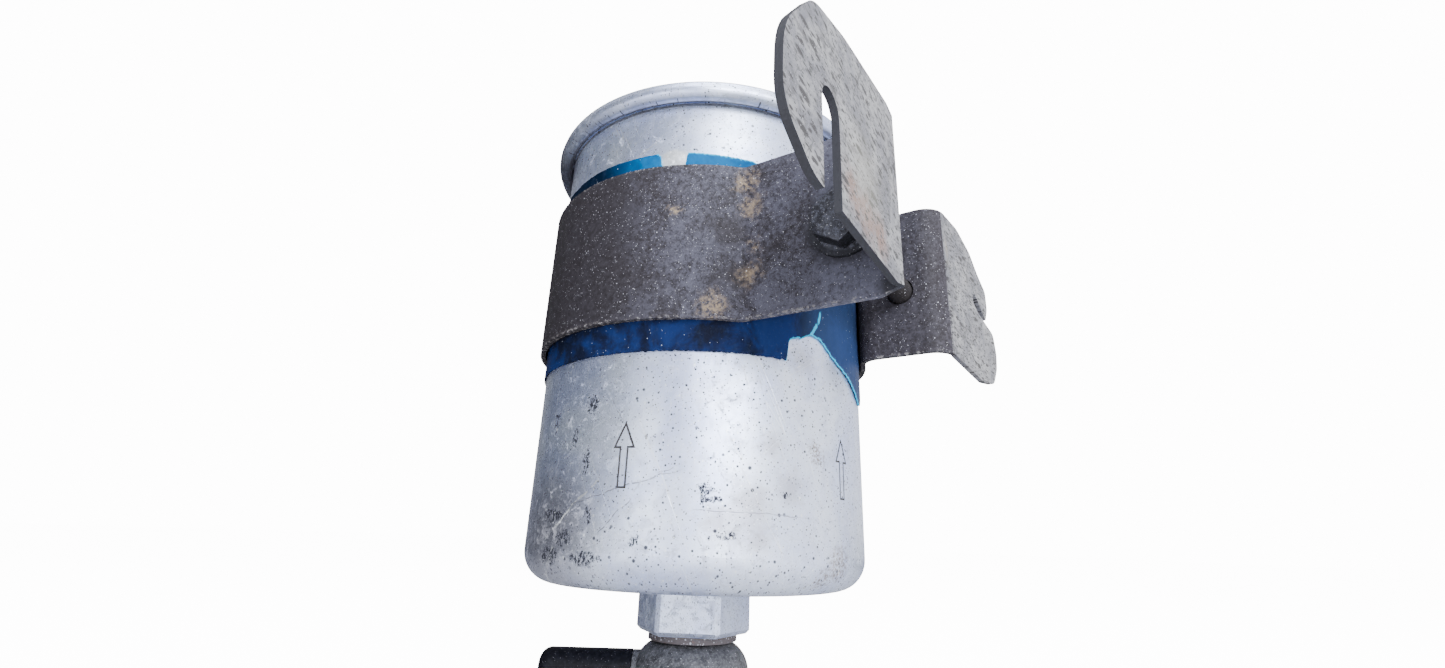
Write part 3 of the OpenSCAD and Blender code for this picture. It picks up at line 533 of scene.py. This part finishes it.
def dirty_steel(name, low, high, metallic, roughness, dust, amount,
                grain=1.3, specks=0.5, sides=None, hub=None):
    """Small steel part with cloudy tarnish, a coat of dust and pale and dark grit.

    sides is the painted shade given to the faces along Y; hub is a screw's axis (x, z) and the radius where
    grime starts.
    """
    s = Shader(name, metallic=metallic, roughness=roughness, specular=0.2 if hub else 0.5)
    fine = s.noise(grain, 6.0, 0.72, 0.4)
    sand = s.noise(grain * 3.5, 4.0, 0.7)
    color = s.mix(s.span(s.noise(grain * 0.3, 4.0, 0.6, 0.3), 0.36, 0.66), low, high)
    coat = s.span(s.add(fine, s.mul(s.add(sand, -0.5), 0.5)), 0.46, 0.66)
    color = s.mix(s.mul(coat, amount), color, dust)
    if hub:
        # painted shade on the shank between the legs, and grime outside the head
        x, y, z = s.xyz()
        shank = s.mul(s.span(y, -30.9, -30.5), s.span(y, 13.6, 13.2))
        color = s.mix(s.mul(shank, 0.95), color, (0.012, 0.009, 0.009))
        dx, dz = s.add(x, -hub[0]), s.add(z, -hub[1])
        away = s.math("SQRT", s.add(s.mul(dx, dx), s.mul(dz, dz)))
        color = s.mix(s.mul(s.span(away, hub[2], hub[2] + 0.6), 0.8), color, (0.022, 0.022, 0.027))
    grit = s.top(s.specks(0.8, 0.12, specks), s.specks(1.7, 0.16, specks))
    color = s.mix(s.mul(grit, 0.75), color, (0.60, 0.60, 0.64))
    color = s.mix(s.mul(s.specks(0.9, 0.16, 0.46), 0.7), color, (0.012, 0.012, 0.015))
    if sides:
        _, across, _ = s.xyz(s.new("ShaderNodeNewGeometry").outputs["True Normal"])
        # painted shade on the flanks of the screw's head
        flank = s.span(s.math("ABSOLUTE", across), 0.25, 0.55, 1.0, 0.0)
        color = s.mix(s.mul(flank, s.span(fine, 0.4, 0.7, 1.0, 0.7)), color, sides)
    s.bump(fine, 0.08, 0.7)
    s.bump(sand, 0.04, 0.7)
    rough = s.blend(coat, roughness, min(0.85, roughness + 0.25))
    return s.done(color, rough, s.blend(coat, metallic, metallic * 0.3))


def plate_steel():
    s = Shader("plate_steel", metallic=0.9, roughness=0.32)
    cloud = s.noise(0.2, 4.0, 0.6, 0.3)
    color = s.mix(s.span(cloud, 0.36, 0.66), (0.52, 0.53, 0.55), (0.72, 0.72, 0.73))
    fine = s.noise(3.0, 4.0, 0.65, vector=s.stretch(1, 1, 0.3))
    color = s.mix(s.mul(s.span(fine, 0.52, 0.72), 0.3), color, (0.82, 0.80, 0.74))
    s.bump(fine, 0.02, 0.5)
    return s.done(color, s.span(cloud, 0.3, 0.7, 0.28, 0.42))


def copper():
    s = Shader("copper", metallic=0.75, roughness=0.45)
    cloud = s.noise(0.8, 5.0, 0.68, 0.4)
    color = s.mix(s.span(cloud, 0.36, 0.64), (0.13, 0.075, 0.060), (0.34, 0.20, 0.15))
    grime = s.span(s.noise(0.8, 6.0, 0.78, 0.8), 0.30, 0.46)
    color = s.mix(s.mul(grime, 0.93), color, (0.075, 0.070, 0.078))
    grit = s.top(s.specks(0.9, 0.24, 0.62), s.specks(1.7, 0.26, 0.60))
    color = s.mix(s.mul(grit, 0.8), color, (0.50, 0.51, 0.56))
    s.bump(cloud, 0.08, 0.8)
    return s.done(color, s.blend(grime, 0.42, 0.75), s.blend(grime, 0.75, 0.2))


def rubber():
    s = Shader("rubber", roughness=0.62, specular=0.12)
    fine = s.noise(0.9, 5.0, 0.65, 0.3)
    color = s.mix(s.span(fine, 0.36, 0.68), (0.002, 0.002, 0.004), (0.007, 0.007, 0.011))
    bloom = s.span(s.noise(0.35, 5.0, 0.7, 0.6), 0.52, 0.74)
    color = s.mix(s.mul(bloom, 0.3), color, (0.035, 0.037, 0.048))
    color = s.mix(s.mul(s.specks(2.4, 0.16, 0.44), 0.6), color, (0.42, 0.42, 0.46))
    s.bump(fine, 0.05, 0.6)
    s.bump(s.noise(4.0, 3.0, 0.6), 0.02, 0.6)
    return s.done(color, s.blend(bloom, 0.5, 0.75))


def paper():
    s = Shader("paper", roughness=0.88, specular=0.2)
    fibre = s.noise(1.4, 5.0, 0.7, vector=s.stretch(1, 1, 0.35))
    color = s.mix(s.span(fibre, 0.36, 0.66), (0.60, 0.44, 0.20), (0.78, 0.62, 0.34))
    color = s.mix(s.mul(s.span(s.noise(0.08, 3.0), 0.4, 0.7), 0.4), color, (0.52, 0.36, 0.16))
    s.bump(fibre, 0.05, 0.6)
    return s.done(color)


MATERIALS = {
    "can_alloy": can_alloy(),
    "film": film_blue(),
    "strap_steel": strap_steel(),
    "fastener_steel": dirty_steel("fastener_steel", (0.026, 0.026, 0.032), (0.065, 0.066, 0.080), 0.2, 0.55,
                                  (0.15, 0.155, 0.20), 0.7, sides=(0.010, 0.010, 0.013),
                                  hub=(51.5, 68.2, 5.6)),
    "plate_steel": plate_steel(),
    "copper": copper(),
    "union_steel": dirty_steel("union_steel", (0.030, 0.030, 0.034), (0.085, 0.085, 0.095), 0.25, 0.6,
                               (0.17, 0.17, 0.185), 0.75, 1.8, 0.52),
    "rubber": rubber(),
    "paper": paper(),
}
slot_of = {p["node"]: p["material_slot"] for p in frame["record"]["subparts"]}


def dress(obj, material):
    """Gives every face of an object one material."""
    obj.data.materials.clear()
    obj.data.materials.append(material)


def piece_from(name, bm, body, slot, smooth=True):
    """A new object from a bmesh, in the slot's material, riding on a body."""
    mesh = bpy.data.meshes.new(name)
    bm.normal_update()
    for face in bm.faces:
        face.smooth = smooth
    bm.to_mesh(mesh)
    bm.free()
    obj = bpy.data.objects.new(name, mesh)
    bpy.context.collection.objects.link(obj)
    dress(obj, MATERIALS[slot])
    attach(obj, body)
    return obj


for name, obj in frame["nodes"].items():
    dress(obj, MATERIALS[slot_of[name]])


# ---------------------------------------------------------------- film sleeve
FILM_LOW, FILM_HIGH = 45.7, 92.8
FILM_R, FILM_THICK = 40.34, 0.28
# edges of the film going round from the back: (direction, height); straight in between
TOP_EDGE = [
    (-180, FILM_HIGH), (-74.5, FILM_HIGH), (-73.5, 92.4), (-73.1, 89.2), (-65.1, 89.2), (-64.7, 92.6),
    (-60, 92.4), (-50, 91.9), (-42, 91.3), (-38.8, 90.7), (-37.2, 89.0), (-34, 88.6), (-22, 88.5),
    (2, 88.6), (9, 90.2), (15, 91.9), (19, FILM_HIGH), (180, FILM_HIGH)]
LOW_EDGE = [
    (-180, FILM_LOW), (-31.4, FILM_LOW), (-30.9, 49.6), (-29.5, 50.6), (-25.1, 51.3), (-22.2, 52.5),
    (-17.8, 52.0), (-15.0, 50.4), (-11.3, 48.5), (-6, 46.8), (-1.2, 45.6), (3, 44.0), (7.2, 42.4),
    (10.5, 41.5), (14, 41.7), (18, 43.6), (21, FILM_LOW), (180, FILM_LOW)]
TEAR = [(-17.8, 58.6), (-18.9, 55.9), (-20.6, 54.2), (-22.2, 52.5)]  # split in the film above its torn corner


def height_at(edge, direction):
    for (a, za), (b, zb) in zip(edge, edge[1:]):
        if a <= direction <= b:
            return za + (zb - za) * (direction - a) / (b - a)
    return edge[-1][1]


def tear_distance(direction, height):
    """Distance in mm from the split line, along the wall."""
    x = math.radians(direction) * FILM_R
    best = 99.0
    for (a, za), (b, zb) in zip(TEAR, TEAR[1:]):
        ax, bx = math.radians(a) * FILM_R, math.radians(b) * FILM_R
        t = ((x - ax) * (bx - ax) + (height - za) * (zb - za)) / ((bx - ax) ** 2 + (zb - za) ** 2)
        t = min(1.0, max(0.0, t))
        best = min(best, math.hypot(x - ax - t * (bx - ax), height - za - t * (zb - za)))
    return best


def film_sleeve():
    """Shrink film round the can: a thin crinkled skin with torn edges that catch the light."""
    turns = []
    direction = -180.0
    while direction < 180.0 - 1e-6:
        turns.append(direction)
        direction += 0.4 if -80 < direction < 24 else 2.0
    rows = [0, 0.12, 0.3, 0.6, 1.0, 1.6] + [2.6 + i * 1.5 for i in range(24)]
    bm = bmesh.new()
    rim = bm.verts.layers.float.new(FILM_RIM)

    def skin(offset):
        columns = []
        for direction in turns:
            ragged = (0.28 * noise.noise(Vector((direction * 0.9, 3.1, 0)))
                      + 0.14 * noise.noise(Vector((direction * 3.1, 8.7, 0))))
            free = -75 < direction < 22
            low = height_at(LOW_EDGE, direction) + ragged * (1.0 if free else 0.5)
            high = height_at(TOP_EDGE, direction) + ragged * (1.0 if free else 0.4)
            span = high - low
            steps = [r for r in rows if r < span / 2]
            levels = [low + r for r in steps] + [high - r for r in reversed(steps)]
            while len(levels) < 2 * len(rows):
                levels.insert(len(levels) // 2, (low + high) / 2)
            column = []
            for level in levels:
                near = min(level - low, high - level)
                a = math.radians(direction)
                p = Vector((math.cos(a) * 9, math.sin(a) * 9, level * 0.16))
                crinkle = 0.12 * noise.noise(p) + 0.05 * noise.noise(p * 3.3)
                radius = FILM_R + offset + crinkle
                # the torn corner stands off the can a little
                lift = max(0.0, 1.0 - abs(direction + 8) / 20.0) * max(0.0, (50.5 - level) / 9.0)
                tear = tear_distance(direction, level)
                radius += min(0.42, 0.5 * lift) + 0.16 * math.exp(-(tear / 0.35) ** 2)
                vert = bm.verts.new(at(radius * math.cos(a), radius * math.sin(a), level))
                torn_low = 1.0 if -31.6 < direction < 13 and level - low < 2 else 0.28
                torn_high = 1.0 if -74.8 < direction < -37 else 0.35
                strength = torn_low if level - low < high - level else torn_high
                vert[rim] = max(strength * math.exp(-near / 0.42), 1.1 * math.exp(-(tear / 0.38) ** 2))
                column.append(vert)
            columns.append(column)
        return columns

    outer, inner = skin(FILM_THICK / 2), skin(-FILM_THICK / 2)
    for i in range(len(turns)):
        j = (i + 1) % len(turns)
        for k in range(len(outer[i]) - 1):
            bm.faces.new((outer[i][k], outer[j][k], outer[j][k + 1], outer[i][k + 1]))
            bm.faces.new((inner[i][k], inner[i][k + 1], inner[j][k + 1], inner[j][k]))
        for k, flip in ((0, True), (-1, False)):
            ring = (outer[i][k], outer[j][k], inner[j][k], inner[i][k])
            bm.faces.new(ring if not flip else ring[::-1])
    bmesh.ops.remove_doubles(bm, verts=bm.verts, dist=1e-7)
    piece = piece_from("film_skin", bm, "filter", "film")
    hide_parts("film_sleeve")


# ---------------------------------------------------------------- screws and threads
def thread_bump(phase):
    """Height of a V thread from 0 in the root to 1 on the crest, for a phase in turns."""
    return 1.0 - abs((phase % 1.0) * 2.0 - 1.0)


def threaded_rod(bm, axis_point, direction, side, radius, depth, pitch, start, end, plain, tip=0.8):
    """A rod from start to end along its axis, in mm: threaded beyond plain, bevelled over the last tip."""
    around_steps = 28
    step = pitch / 8.0
    count = int((end - start) / step)
    up = direction.cross(side)
    rings = []
    for i in range(count + 1):
        along = start + step * i
        ring = []
        for k in range(around_steps):
            turn = k / around_steps
            r = radius
            if along > plain:
                r -= depth * (1.0 - thread_bump(along / pitch - turn)) * min(1.0, (along - plain) / pitch)
            if along > end - tip:
                r -= (along - end + tip) * 0.75
            a = 2 * math.pi * turn
            ring.append(bm.verts.new(axis_point + direction * (along * MM)
                                     + (side * math.cos(a) + up * math.sin(a)) * (r * MM)))
        rings.append(ring)
    for a, b in zip(rings, rings[1:]):
        for k in range(around_steps):
            m = (k + 1) % around_steps
            bm.faces.new((a[k], a[m], b[m], b[k]))
    bm.faces.new(rings[0][::-1])
    bm.faces.new(rings[-1])


def clamp_screw():
    """The hexagon head is the CAD head cut free; the shank gets its real M6 thread."""
    source = frame["nodes"]["clamp_screw"]
    low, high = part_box("clamp_screw")
    head_y = low.y + HEAD_H * MM
    bm = bmesh.new()
    bm.from_mesh(source.data)
    cut = bmesh.ops.bisect_plane(bm, geom=bm.verts[:] + bm.edges[:] + bm.faces[:], plane_co=(0, head_y, 0),
                                 plane_no=(0, 1, 0), clear_outer=True)
    edges = [e for e in cut["geom_cut"] if isinstance(e, bmesh.types.BMEdge)]
    bmesh.ops.holes_fill(bm, edges=edges)
    centre = Vector(((low.x + high.x) / 2, head_y, (low.z + high.z) / 2))
    threaded_rod(bm, centre, Vector((0, 1, 0)), Vector((1, 0, 0)), radius=2.98, depth=0.52, pitch=1.0,
                 start=-1.0, end=(high.y - head_y) / MM, plain=16.0)
    piece = piece_from("clamp_screw_threaded", bm, "screw", "fastener_steel", smooth=False)
    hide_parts("clamp_screw")


def outlet_thread():
    """Fine thread on the wall of the outlet's hole."""
    bm = bmesh.new()
    around_steps, pitch, top, depth = 48, 1.5, -1.0, 12.0
    step = pitch / 8
    rings = []
    for i in range(int(depth / step) + 1):
        z = top - step * i
        fade = min(1.0, i / 8, (depth / step - i) / 8)
        ring = []
        for k in range(around_steps):
            a = 2 * math.pi * k / around_steps
            r = OUTLET_BORE - 0.02 - 0.42 * fade * thread_bump(z / pitch - k / around_steps)
            ring.append(bm.verts.new((r * math.cos(a) * MM, r * math.sin(a) * MM, z * MM)))
        rings.append(ring)
    # close the skin along the hole's own wall
    first, last = rings[0], rings[-1]
    for ring in (last, first):
        wall = [v.co.xy * (OUTLET_BORE * MM / v.co.xy.length) for v in ring]
        rings.append([bm.verts.new((*flat, v.co.z)) for flat, v in zip(wall, ring)])
    rings.append(first)
    for a, b in zip(rings, rings[1:]):
        for k in range(around_steps):
            m = (k + 1) % around_steps
            bm.faces.new((a[k], b[k], b[m], a[m]))
    bmesh.ops.recalc_face_normals(bm, faces=bm.faces)
    piece_from("outlet_thread", bm, "filter", "can_alloy")


film_sleeve()
clamp_screw()
outlet_thread()


def soften(name, width):
    """Rounds a CAD node's sharp edges with a modifier; its mesh stays as packed."""
    obj = frame["nodes"][name]
    bevel = obj.modifiers.new("edge_round", "BEVEL")
    bevel.width = width * MM
    bevel.segments = 2
    bevel.limit_method = "ANGLE"
    bevel.angle_limit = math.radians(40)
    bevel.harden_normals = True


for name, width in (("clamp_washer", 0.12), ("clamp_nut", 0.15), ("banjo_bolt", 0.25)):
    soften(name, width)

# ---------------------------------------------------------------- stage, lights and camera
ROOM_DARK, ROOM_BRIGHT = 0.0, 1.75  # the room's light on its two sides
BACKDROP, FLOOR_GLOW = 14.0, 0.7  # how bright the backdrop looks, and what the floor sends up
FLOOR_SIZE = 6.0
COOL = (0.88, 0.93, 1.0)


def stage_material():
    s = Shader("studio_floor", roughness=0.9, specular=0.1)
    n = s.noise(0.01, 3.0, 0.5)
    s.bsdf.inputs["Emission Color"].default_value = (1, 1, 1, 1)
    seen = s.new("ShaderNodeLightPath").outputs["Is Camera Ray"]
    x, y, _ = s.xyz()
    lit = s.span(s.add(s.mul(x, 0.75), s.mul(y, -0.66)), -200.0, 300.0)
    s.link(s.blend(seen, s.mul(lit, FLOOR_GLOW), BACKDROP * 0.92), s.bsdf.inputs["Emission Strength"])
    pale = s.mix(n, (0.90, 0.90, 0.90), (0.93, 0.93, 0.93))
    return s.done(s.mix(s.top(lit, seen), (0.05, 0.05, 0.06), pale))


def studio():
    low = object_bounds()[0].z
    mesh = bpy.data.meshes.new("floor")
    bm = bmesh.new()
    bmesh.ops.create_grid(bm, x_segments=2, y_segments=2, size=FLOOR_SIZE)
    bm.to_mesh(mesh)
    bm.free()
    floor = bpy.data.objects.new("floor", mesh)
    bpy.context.collection.objects.link(floor)
    floor.location.z = low - 0.0005
    dress(floor, stage_material())
    floor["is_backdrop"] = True
    world = bpy.data.worlds.new("studio")
    bpy.context.scene.world = world
    world.use_nodes = True
    tree = world.node_tree
    background = next(n for n in tree.nodes if n.type == "BACKGROUND")
    background.inputs["Color"].default_value = (1.0, 1.0, 1.0, 1.0)
    # the room is brighter to the right of the bracket's face; seen directly, the backdrop is white all over
    coord = tree.nodes.new("ShaderNodeTexCoord")
    bright = tree.nodes.new("ShaderNodeVectorMath")
    bright.operation = "DOT_PRODUCT"
    bright.inputs[1].default_value = (0.83, 0.55, 0.15)
    tree.links.new(coord.outputs["Generated"], bright.inputs[0])
    slope = tree.nodes.new("ShaderNodeMapRange")
    spread = {"From Min": -0.75, "From Max": 1.0, "To Min": ROOM_DARK, "To Max": ROOM_BRIGHT}
    for key, value in spread.items():
        slope.inputs[key].default_value = value
    tree.links.new(bright.outputs["Value"], slope.inputs["Value"])
    seen = tree.nodes.new("ShaderNodeLightPath")
    pick = tree.nodes.new("ShaderNodeMix")
    tree.links.new(seen.outputs["Is Camera Ray"], pick.inputs[0])
    tree.links.new(slope.outputs[0], pick.inputs[2])
    pick.inputs[3].default_value = BACKDROP
    tree.links.new(pick.outputs[0], background.inputs["Strength"])


def area_light(name, position, size, power):
    """A round soft light aimed at the middle of the can."""
    data = bpy.data.lights.new(name, "AREA")
    data.shape = "DISK"
    data.size, data.energy, data.color = size, power, COOL
    lamp = bpy.data.objects.new(name, data)
    bpy.context.collection.objects.link(lamp)
    lamp.location = position
    lamp.rotation_euler = (Vector((0, 0, -0.06)) - Vector(position)).to_track_quat("-Z", "Y").to_euler()


def camera():
    """Close wide-angle view from below the can's middle, looking up at the bracket."""
    turn = 33.6  # the bracket's face is turned this far from the view's own left-right axis
    yaw, pitch, roll = math.radians(1.71 - turn), math.radians(19.01), math.radians(1.94)
    place = Matrix.Rotation(math.radians(turn), 3, "Z") @ Vector((0, -154.62, 10.08))
    forward = Vector((math.sin(yaw) * math.cos(pitch), math.cos(yaw) * math.cos(pitch), math.sin(pitch)))
    side = Vector((math.cos(yaw), -math.sin(yaw), 0))
    up = side.cross(forward)
    right = side * math.cos(roll) + up * math.sin(roll)
    up = up * math.cos(roll) - side * math.sin(roll)
    data = bpy.data.cameras.new("camera")
    data.sensor_width, data.lens = 36.0, 14.87
    data.clip_start, data.clip_end = 0.005, 50.0
    cam = bpy.data.objects.new("camera", data)
    bpy.context.collection.objects.link(cam)
    basis = Matrix((right, up, -forward)).transposed().to_4x4()
    cam.matrix_world = Matrix.Translation(at(*place)) @ basis
    bpy.context.scene.camera = cam


studio()
camera()
area_light("key", (0.68, -0.58, 0.26), 0.60, 16.0)
area_light("top", (0.25, -0.30, 0.70), 0.60, 6.5)
area_light("front", (0.02, -0.85, -0.10), 0.35, 1.6)
